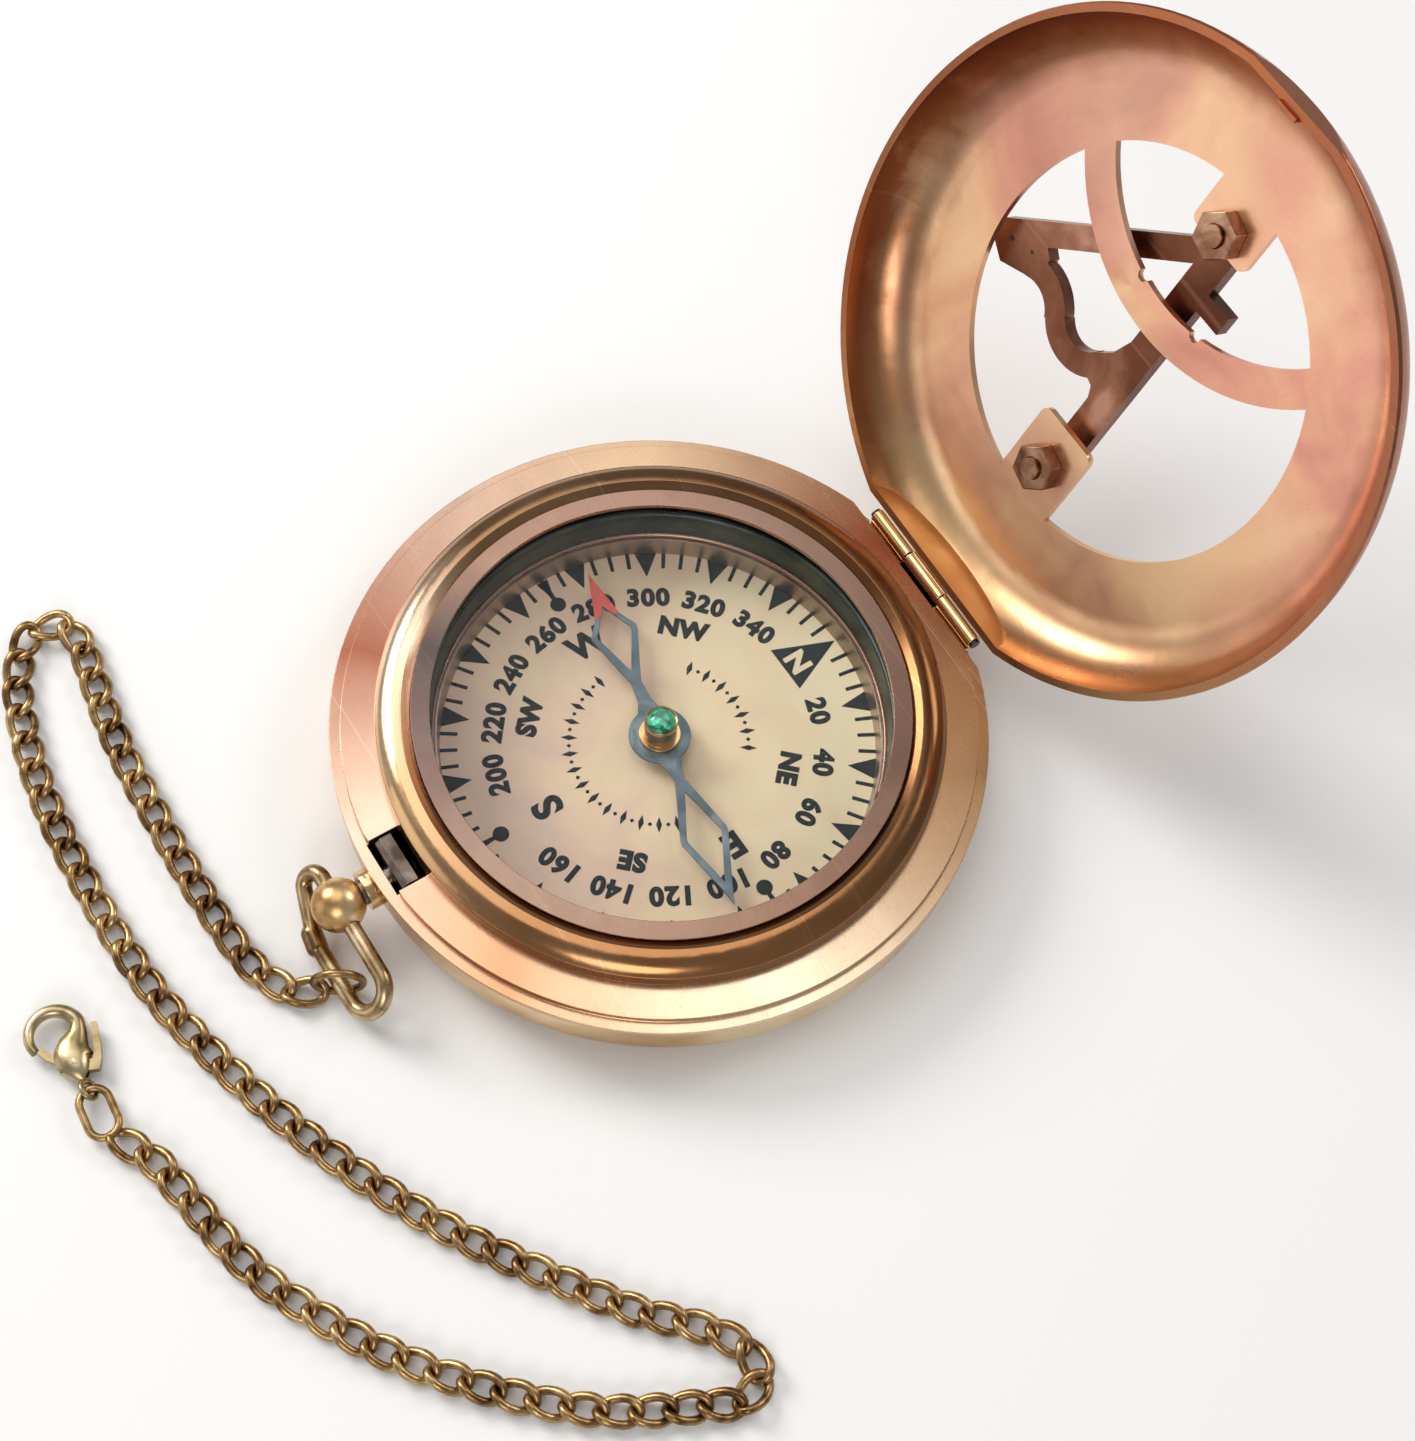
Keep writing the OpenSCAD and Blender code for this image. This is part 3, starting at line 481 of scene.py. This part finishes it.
def glass_material():
    """A thin clear pane: see-through, with a reflection that grows at low angles."""
    m = bpy.data.materials.new("window_glass")
    m.use_nodes = True
    tree = m.node_tree
    tree.nodes.clear()
    clear = tree.nodes.new("ShaderNodeBsdfTransparent")
    clear.inputs["Color"].default_value = GLASS_TINT
    shine = tree.nodes.new("ShaderNodeBsdfGlossy")
    shine.inputs["Roughness"].default_value = GLASS_ROUGH
    shine.inputs["Color"].default_value = (1, 1, 1, 1)
    edge_on = tree.nodes.new("ShaderNodeLayerWeight")
    edge_on.inputs["Blend"].default_value = GLASS_BLEND
    mix = tree.nodes.new("ShaderNodeMixShader")
    out = tree.nodes.new("ShaderNodeOutputMaterial")
    tree.links.new(edge_on.outputs["Facing"], mix.inputs[0])
    tree.links.new(clear.outputs[0], mix.inputs[1])
    tree.links.new(shine.outputs[0], mix.inputs[2])
    tree.links.new(mix.outputs[0], out.inputs["Surface"])
    return m


def jewel_materials():
    """Three greens, from deep to bright, for the facets of the jewel: shaded and lit copies of one green that
    paint in facet light and shade.
    """
    made = []
    for i, green in enumerate(JEWEL_LIT_AND_SHADED_GREENS):
        m = Nodes(f"jewel_shade_and_light_{i}", rough=0.05, IOR=1.6, Coat_Weight=0.5, Coat_Roughness=0.03)
        fine = m.noise(1500, 3, 0.6)
        deep, bright = [0.55 * c for c in green], [1.5 * c for c in green]
        m.colour(m.ramp(fine, [(0.3, deep), (0.55, green), (0.75, bright)]))
        made.append(m.material)
    return made


m_dial = dial_material()
m_ink = ink_material()
m_red = red_material()
m_glass = glass_material()
m_facet_light_greens = jewel_materials()


# ------------------------------------------------------------------ chain
# The chain's centre line on the floor, the same points as in the CAD (millimetres)
CHAIN_ROUTE = [
    (5.8, -47.45), (4.6, -50.1), (0, -52.5), (-7, -53.3), (-14, -53.5), (-21, -53.4), (-28, -53.2),
    (-35, -52.6), (-41, -51.6), (-46, -50.8), (-49, -51.4), (-50, -53.6), (-49.4, -56.2),
    (-46, -58.8), (-41, -60.8), (-34, -62.5), (-26, -63.5), (-18, -63.8), (-10, -63.7),
    (-2, -63), (6, -61.2), (14, -58.9), (22, -56), (30, -52.4), (38, -48), (46, -42.6),
    (54, -36.7), (60, -31), (64, -28.8), (67, -29.4), (68, -32), (66.4, -35.6), (62, -43.8),
    (56, -51), (48, -58.2), (40, -63.6), (30, -68.4), (20, -70.6), (14, -71.8), (9.4, -74.2)]
CHAIN_Z = 1.1
LINK_PITCH = 3.6
LINK_HALF = (2.3, 1.38)
LINK_WIRE = 0.5
LINK_TWIST = math.radians(42)
LINK_LIFT = 0.06
LINK_SWAY = 0.07


def smooth_route(route, steps):
    """Catmull-Rom points through the route."""
    last = len(route) - 1
    out = []
    for i in range(last):
        a, b, c, d = (Vector(route[j]) for j in (max(i - 1, 0), i, i + 1, min(i + 2, last)))
        for k in range(steps):
            t = k / steps
            out.append(0.5 * (2 * b + (c - a) * t + (2 * a - 5 * b + 4 * c - d) * t * t
                              + (3 * b - a - 3 * c + d) * t ** 3))
    return out + [Vector(route[-1])]


def along(path, s):
    """The point and heading at length s of a path."""
    walked = 0.0
    for a, b in zip(path, path[1:]):
        step = (b - a).length
        if walked + step >= s:
            return a + (b - a) * ((s - walked) / step), (b - a).normalized()
        walked += step
    return path[-1], (path[-1] - path[-2]).normalized()


def link_shape(segments=26, sides=9):
    """One curb link along X: an oval of wire that is twisted from end to end."""
    a, b = LINK_HALF
    points, ups = [], []
    for i in range(segments):
        w = TAU * i / segments
        x = a * math.copysign(abs(math.cos(w)) ** 0.85, math.cos(w))
        y = b * math.copysign(abs(math.sin(w)) ** 0.85, math.sin(w))
        turn = LINK_TWIST * x / a
        points.append(Vector((x, y * math.cos(turn), y * math.sin(turn))))
        ups.append(Vector((0, -math.sin(turn), math.cos(turn))))
    verts, faces = [], []
    for i, p in enumerate(points):
        t = (points[(i + 1) % segments] - points[i - 1]).normalized()
        side = t.cross(ups[i]).normalized()
        top = side.cross(t)
        for k in range(sides):
            w = TAU * k / sides
            verts.append(p + side * (LINK_WIRE * math.cos(w)) + top * (LINK_WIRE * math.sin(w)))
        j = (i + 1) % segments
        for k in range(sides):
            m = (k + 1) % sides
            faces.append((i * sides + k, i * sides + m, j * sides + m, j * sides + k))
    return verts, faces


def make_chain():
    """Curb links along the route, each a little lifted and turned; returns the chain, its path and length."""
    path = smooth_route(CHAIN_ROUTE, 8)
    length = sum((b - a).length for a, b in zip(path, path[1:]))
    count = round(length / LINK_PITCH)
    verts, faces = link_shape()
    shape = Shape()
    for i in range(count):
        p, h = along(path, (i + 0.5) * length / count)
        z = CHAIN_Z + RNG.uniform(0.0, LINK_LIFT)
        place = Matrix(((h.x, -h.y, 0, p.x), (h.y, h.x, 0, p.y), (0, 0, 1, z), (0, 0, 0, 1)))
        roll = Matrix.Rotation(RNG.uniform(-LINK_SWAY, LINK_SWAY), 4, "X")
        yaw = Matrix.Rotation(RNG.uniform(-LINK_SWAY, LINK_SWAY), 4, "Z")
        shape.add(verts, faces, 0, place @ yaw @ roll)
    chain = shape.make("chain_links", m_chain, smooth=80)
    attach(chain, "chain")
    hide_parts("chain")
    return chain, [(p.x * MM, p.y * MM, CHAIN_Z * MM) for p in path], length * MM


chain, chain_path, chain_length = make_chain()


# ------------------------------------------------------------------ CAD nodes
WELD_GAP = 0.000002
FLAT_ANGLE = math.radians(0.4)
BEVEL_ANGLE = math.radians(32)
BEVEL_SEGMENTS = 2


def soften(name, material, width):
    """Gives a CAD node its material, small rounded edges and even shading."""
    obj = NODES[name]
    obj.data.materials.clear()
    obj.data.materials.append(material)
    weld = obj.modifiers.new("weld", "WELD")
    weld.merge_threshold = WELD_GAP
    flat = obj.modifiers.new("flat", "DECIMATE")
    flat.decimate_type = "DISSOLVE"
    flat.angle_limit = FLAT_ANGLE
    if width:
        bevel = obj.modifiers.new("bevel", "BEVEL")
        bevel.width = width * MM
        bevel.segments = BEVEL_SEGMENTS
        bevel.limit_method = "ANGLE"
        bevel.angle_limit = BEVEL_ANGLE
        bevel.harden_normals = False
    shade = obj.modifiers.new("normals", "WEIGHTED_NORMAL")
    shade.keep_sharp = False
    obj.data.shade_smooth()


# Node, material and width of its rounded edges in millimetres
CAD_LOOKS = [
    ("base_shell", m_polished, 0.06), ("case_top", m_flange, 0.08), ("bezel_ring", m_bezel, 0.08),
    ("glass_retainer", m_retainer, 0.07), ("capsule_wall", m_wall, 0.0), ("dial_ring", m_band, 0.03),
    ("snap_ring", m_retainer, 0.0), ("dial_card", m_dial, 0.0), ("dial_seat", m_band, 0.0),
    ("pivot_post", m_polished, 0.0), ("hinge_leaf_case", m_polished, 0.12), ("hinge_pin", m_steel, 0.05),
    ("pendant_neck", m_polished, 0.1), ("latch_spring", m_steel, 0.0), ("latch_slide", m_slide, 0.1),
    ("button_ball", m_ball, 0.1), ("bow", m_bow, 0.0), ("needle", m_blued, 0.04),
    ("needle_cap", m_polished, 0.06), ("lid_shell", m_lid, 0.1), ("hinge_leaf_lid", m_polished, 0.12),
    ("lid_catch", m_lid, 0.08), ("gnomon_posts", m_nut, 0.1), ("post_nuts", m_nut, 0.16),
    ("gnomon", m_gnomon, 0.15), ("bow_ring", m_chain, 0.0), ("end_ring", m_chain, 0.0),
    ("clasp_rivet", m_clasp, 0.03), ("clasp_spring", m_steel, 0.0),
    ("clasp_lever", m_clasp, 0.15), ("glass", m_glass, 0.0),
]
for node_name, look, edge in CAD_LOOKS:
    soften(node_name, look, edge)


# ------------------------------------------------------------------ clasp
CLASP_PLACE = Matrix.Translation((3.3, -74.2, 1.45)) @ Matrix.Rotation(math.radians(176), 4, "Z")
# Along the body's middle line: place, half width and half thickness
CLASP_SPINE = [
    (0.95, 0, 0.3, 0.3), (1.25, 0.02, 0.62, 0.6), (2.0, 0.08, 1.25, 1.0), (2.8, 0.15, 1.75, 1.22),
    (3.7, 0.2, 2.15, 1.3), (4.5, 0.0, 2.2, 1.27), (5.3, -0.4, 1.85, 1.18), (6.0, -0.95, 1.4, 1.02),
    (6.7, -1.45, 1.05, 0.88)]
HOOK_CENTRE = (7.4, 0.92)
HOOK_R = 2.77
HOOK_STEPS = 12
CLASP_SLOT = [
    (3.4, -3), (3.4, -1.6), (3.9, -1.0), (6.0, 0.5), (7.0, 0.9), (7.0, 2.2), (5.6, 4.4), (3.6, 3.6),
    (2.4, 0.9), (1.1, -0.4), (0.5, -1.6), (0.5, -3)]
SLOT_HALF = 0.6
EYE_R = 1.05
EYE_WIRE = 0.33
EYE_TILT = math.radians(50)


def cut_mesh(obj, cutter):
    """Cuts one object's mesh with another's and removes the cutter."""
    cut = obj.modifiers.new("cut", "BOOLEAN")
    cut.operation = "DIFFERENCE"
    cut.solver = "EXACT"
    cut.object = cutter
    made = bpy.data.meshes.new_from_object(obj.evaluated_get(bpy.context.evaluated_depsgraph_get()))
    obj.modifiers.remove(cut)
    obj.data = made
    bpy.data.objects.remove(cutter)


def clasp():
    """A lobster clasp: a rounded teardrop that runs out into the hook, with a slot for the lever."""
    hook = arc_points(*HOOK_CENTRE, HOOK_R, -82, 111, HOOK_STEPS)
    spine = CLASP_SPINE + [(x, y, 0.86 - 0.34 * i / HOOK_STEPS, 0.85 - 0.25 * i / HOOK_STEPS)
                           for i, (x, y) in enumerate(hook)]
    line = smooth_route(spine, 4)
    body = Shape()
    body.add(*sweep([(p[0], p[1], 0) for p in line], [(p[2], p[3]) for p in line], 28), matrix=CLASP_PLACE)
    shell = body.make("clasp_shell", m_clasp, smooth=50)
    space = Shape()
    space.add(*prism(CLASP_SLOT, -SLOT_HALF, SLOT_HALF), matrix=CLASP_PLACE)
    cut_mesh(shell, space.make("clasp_slot", m_clasp, smooth=0))
    wire = arc_points(EYE_R, 0, EYE_WIRE, 0, 337.5, 15)
    ring = Shape()
    ring.add(*lathe(wire, 40), matrix=CLASP_PLACE @ Matrix.Rotation(EYE_TILT, 4, "X"))
    eye = ring.make("clasp_eye", m_clasp, smooth=60)
    for piece in (shell, eye):
        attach(piece, "chain")
        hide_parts("clasp_body")
    return shell, eye


clasp_pieces = clasp()


# ------------------------------------------------------------------ dial print
DIAL_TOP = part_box("dial_card")[1].z / MM
DIAL_TURN = math.radians(-1.76)
INK_HALF = 0.02
PRINT_LOW, PRINT_HIGH = DIAL_TOP - INK_HALF, DIAL_TOP + INK_HALF
# Distances from the dial's centre, sizes and outlines of what is printed on it (millimetres)
TICK_OUT = 25.3
TICK_IN = 23.2
WEDGE_IN = 22.0
DOT_AT = 21.5
NUMBERS_AT = 19.2
NUMBER_SIZE = 3.1
NORTH_AT = 19.75
WORDS_AT = 15.3
ORNAMENT_AT = 10.4
NORTH_MARK = [(-3.0, 17.9), (3.0, 17.9), (0, 25.1)]
# Bearing, word and size
WORDS = ((45, "NE", 3.1), (90, "E", 4.2), (135, "SE", 3.1), (180, "S", 4.8),
         (225, "SW", 3.1), (270, "W", 4.3), (315, "NW", 3.1))
# First and last bearing and number of marks in each arc of the ornament
ORNAMENT_ARCS = ((-36, 36, 13), (112, 262, 27))


def on_bearing(bearing, radius, height=0.0):
    """Places a flat drawing at a compass bearing on the dial, with its top outwards."""
    turn = Matrix.Rotation(-math.radians(bearing) - DIAL_TURN, 4, "Z")
    return turn @ Matrix.Translation((0, radius, height))


def text_shape(words, size, bold, gap=1.0):
    """Flat lettering centred on the origin, as vertices and faces in millimetres."""
    data = bpy.data.curves.new("words", "FONT")
    data.body = words
    data.size = size
    data.space_character = gap
    data.align_x = "CENTER"
    data.extrude = INK_HALF
    data.offset = bold
    data.resolution_u = 6
    obj = bpy.data.objects.new("words", data)
    bpy.context.scene.collection.objects.link(obj)
    made = bpy.data.meshes.new_from_object(obj.evaluated_get(bpy.context.evaluated_depsgraph_get()))
    verts = [v.co.copy() for v in made.vertices]
    faces = [tuple(p.vertices) for p in made.polygons]
    bpy.data.objects.remove(obj)
    bpy.data.curves.remove(data)
    bpy.data.meshes.remove(made)
    lo = Vector((min(v.x for v in verts), min(v.y for v in verts), 0))
    hi = Vector((max(v.x for v in verts), max(v.y for v in verts), 0))
    middle = (lo + hi) / 2
    return [v - middle for v in verts], faces


def add_flat(shape, outline, place, raise_by=0.0):
    """Prints a flat outline on the dial."""
    shape.add(*prism(outline, PRINT_LOW, PRINT_HIGH + raise_by), matrix=place)


def dial_prints():
    """The scale, numbers, compass points and a plain ornament of lozenges and dots in two arcs."""
    ink = Shape()
    wedge = [(-1.35, TICK_OUT), (0, WEDGE_IN), (1.35, TICK_OUT)]
    tick = [(-0.23, TICK_OUT), (-0.23, TICK_IN), (0.23, TICK_IN), (0.23, TICK_OUT)]
    for bearing in range(5, 360, 5):
        if bearing != 180:
            add_flat(ink, wedge if bearing % 20 == 0 else tick, on_bearing(bearing, 0))
    dot = arc_points(0, 0, 0.95, 0, 345, 23)
    stem = [(-0.25, 0.8), (0.25, 0.8), (0.32, 1.9), (0.75, 3.6), (-0.75, 3.6), (-0.32, 1.9)]
    for bearing in (90, 180, 270):
        add_flat(ink, dot, on_bearing(bearing, DOT_AT), 0.005)
        add_flat(ink, stem, on_bearing(bearing, DOT_AT))
    for bearing in range(20, 360, 20):
        if bearing != 180:
            place = on_bearing(bearing, NUMBERS_AT, DIAL_TOP)
            ink.add(*text_shape(str(bearing), NUMBER_SIZE, 0.17, 1.14), matrix=place)
    for bearing, word, size in WORDS:
        ink.add(*text_shape(word, size, 0.2, 1.08), matrix=on_bearing(bearing, WORDS_AT, DIAL_TOP))
    add_flat(ink, NORTH_MARK, on_bearing(0, 0))
    small = [(-0.28, 0), (0, -0.28), (0.28, 0), (0, 0.28)]
    tall = [(-0.34, 0), (0, -1.0), (0.34, 0), (0, 1.0)]
    for first, last, count in ORNAMENT_ARCS:
        for i in range(count):
            bearing = first + (last - first) * i / (count - 1)
            add_flat(ink, small if i % 2 else tall, on_bearing(bearing, ORNAMENT_AT))
    letter = Shape()
    letter.add(*text_shape("N", 3.5, 0.16), matrix=on_bearing(0, NORTH_AT, DIAL_TOP + 0.03))
    marks = ink.make("dial_print", m_ink, smooth=0)
    north = letter.make("dial_north_letter", m_dial, smooth=0)
    for piece in (marks, north):
        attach(piece, "case")


dial_prints()


# ------------------------------------------------------------------ needle tip and jewel
NEEDLE_TURN = Matrix.Rotation(math.radians(-280), 4, "Z")
RED_OUTLINE = [(0, 22.6), (-1.5, 16.5), (-0.75, 16.7), (0, 18.1), (0.75, 16.7), (1.5, 16.5)]
STONE_R = 1.62
STONE_SIDES = 10
# Outline of the setting round the stone: radius, and height above the stone's foot
SETTING = [(1.62, 0.0), (1.92, 0.0), (1.92, 0.30), (1.80, 0.42), (1.66, 0.34)]


def heights(name):
    """The lowest and highest point of a CAD node, in millimetres."""
    low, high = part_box(name)
    return low.z / MM, high.z / MM


def red_tip():
    """A thin arrowhead of lacquer over the needle's north end."""
    low, high = heights("needle")
    shape = Shape()
    shape.add(*prism(RED_OUTLINE, low - 0.02, high + 0.03), matrix=NEEDLE_TURN)
    tip = shape.make("needle_red_tip", m_red, smooth=0)
    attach(tip, "needle")


def jewel():
    """A round brilliant, with two rings of facets round a small table, and the rim of its setting."""
    low, high = heights("cap_jewel")
    verts = [(0, 0, high)]
    rings = ((0.55, high, 0), (0.80, high - 0.28, 0.5), (1.0, high - 0.62, 0), (1.0, low + 0.02, 0.5))
    for share, z, shift in rings:
        for k in range(STONE_SIDES):
            w = TAU * (k + shift) / STONE_SIDES
            verts.append((STONE_R * share * math.cos(w), STONE_R * share * math.sin(w), z))
    faces = [(0, 1 + k, 1 + (k + 1) % STONE_SIDES) for k in range(STONE_SIDES)]
    for row, (upper, lower) in enumerate(zip(rings, rings[1:])):
        a, b = 1 + row * STONE_SIDES, 1 + (row + 1) * STONE_SIDES
        for k in range(STONE_SIDES):
            n = (k + 1) % STONE_SIDES
            if lower[2] > upper[2]:
                faces += [(a + k, b + k, a + n), (a + n, b + k, b + n)]
            else:
                faces += [(a + k, b + k, b + n), (a + k, b + n, a + n)]
    shape = Shape()
    # Each facet takes a deep, middle or bright green at random: painted facet light and shade.
    for face in faces:
        shape.add([verts[i] for i in face], [(0, 1, 2)], RNG.choice((0, 1, 1, 2)), NEEDLE_TURN)
    stone = shape.make("cap_stone", m_facet_light_greens, smooth=0)
    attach(stone, "needle")
    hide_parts("cap_jewel")
    setting = Shape()
    setting.add(*lathe([(r, low + h) for r, h in SETTING], 48))
    rim = setting.make("cap_rim", m_polished, smooth=50)
    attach(rim, "needle")


red_tip()
jewel()


# Place and size of each pit, a dark disc that paints the shade inside a small hole, and how the open lid
# tilts the face that they are in
PITS = (((-21.725, 59.394, 34.552), 0.36), ((-18.57, 59.792, 35.333), 0.26))
PIT_FACE = Matrix(((1, 0, 0), (0, 0.454, -0.891), (0, 0.891, 0.454))).to_4x4()


def gnomon_pits():
    """Two small dark pits near the gnomon's tip, on the face that shows when the lid is open: dark steel
    discs that paint in the shade inside two small holes.
    """
    shape = Shape()
    for at, size in PITS:
        pit = [(size * x, 0.8 * size * y) for x, y in arc_points(0, 0, 1, 0, 336, 14)]
        shape.add(*prism(pit, -0.05, 0.02), matrix=Matrix.Translation(at) @ PIT_FACE)
    pits = shape.make("gnomon_pits", m_steel, smooth=0)
    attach(pits, "gnomon")


gnomon_pits()


FLOOR_HALF = 1500
FLOOR_Z = -0.02
FLOOR_GREY = (0.90, 0.90, 0.90)
SKY = (0.97, 0.98, 1.0, 1)
SKY_STRENGTH = 0.32
AIM = Vector((0, 0, 0.01))
# Name, place and diameter in metres, power in watts, colour
LIGHTS = (
    ("panel", (-0.20, 0.0, 0.60), 0.50, 0.9, (1.0, 0.98, 0.96)),
    ("key", (-0.45, -0.20, 0.35), 0.30, 2.2, (1.0, 0.97, 0.93)),
    ("rim", (0.02, 0.50, 0.42), 0.30, 0.9, (1.0, 0.98, 0.95)),
    ("fill", (0.40, -0.34, 0.34), 0.30, 0.9, (1.0, 0.98, 0.95)),
    ("front", (-0.24, -0.62, 0.16), 0.40, 0.38, (1.0, 0.98, 0.96)),
)


def make_stage():
    """A plain pale floor, an even sky and soft round lamps that face the object."""
    floor = Nodes("floor", rough=0.9, colour=FLOOR_GREY)
    fine = floor.noise(35, 3, 0.5)
    floor.rough(floor.range(fine, 0.3, 0.7, 0.85, 0.95))
    corners = [(x * FLOOR_HALF, y * FLOOR_HALF, FLOOR_Z) for x, y in ((-1, -1), (1, -1), (1, 1), (-1, 1))]
    add_mesh("floor", corners, [(0, 1, 2, 3)], floor.material, smooth=0)
    world = bpy.data.worlds.new("world")
    bpy.context.scene.world = world
    world.use_nodes = True
    back = world.node_tree.nodes["Background"]
    back.inputs["Color"].default_value = SKY
    back.inputs["Strength"].default_value = SKY_STRENGTH
    for name, at, size, power, colour in LIGHTS:
        data = bpy.data.lights.new(name, "AREA")
        data.shape = "DISK"
        data.size = size
        data.energy = power
        data.color = colour
        lamp = bpy.data.objects.new(name, data)
        lamp.location = at
        lamp.rotation_euler = (AIM - Vector(at)).to_track_quat("-Z", "Y").to_euler()
        bpy.context.scene.collection.objects.link(lamp)


make_stage()
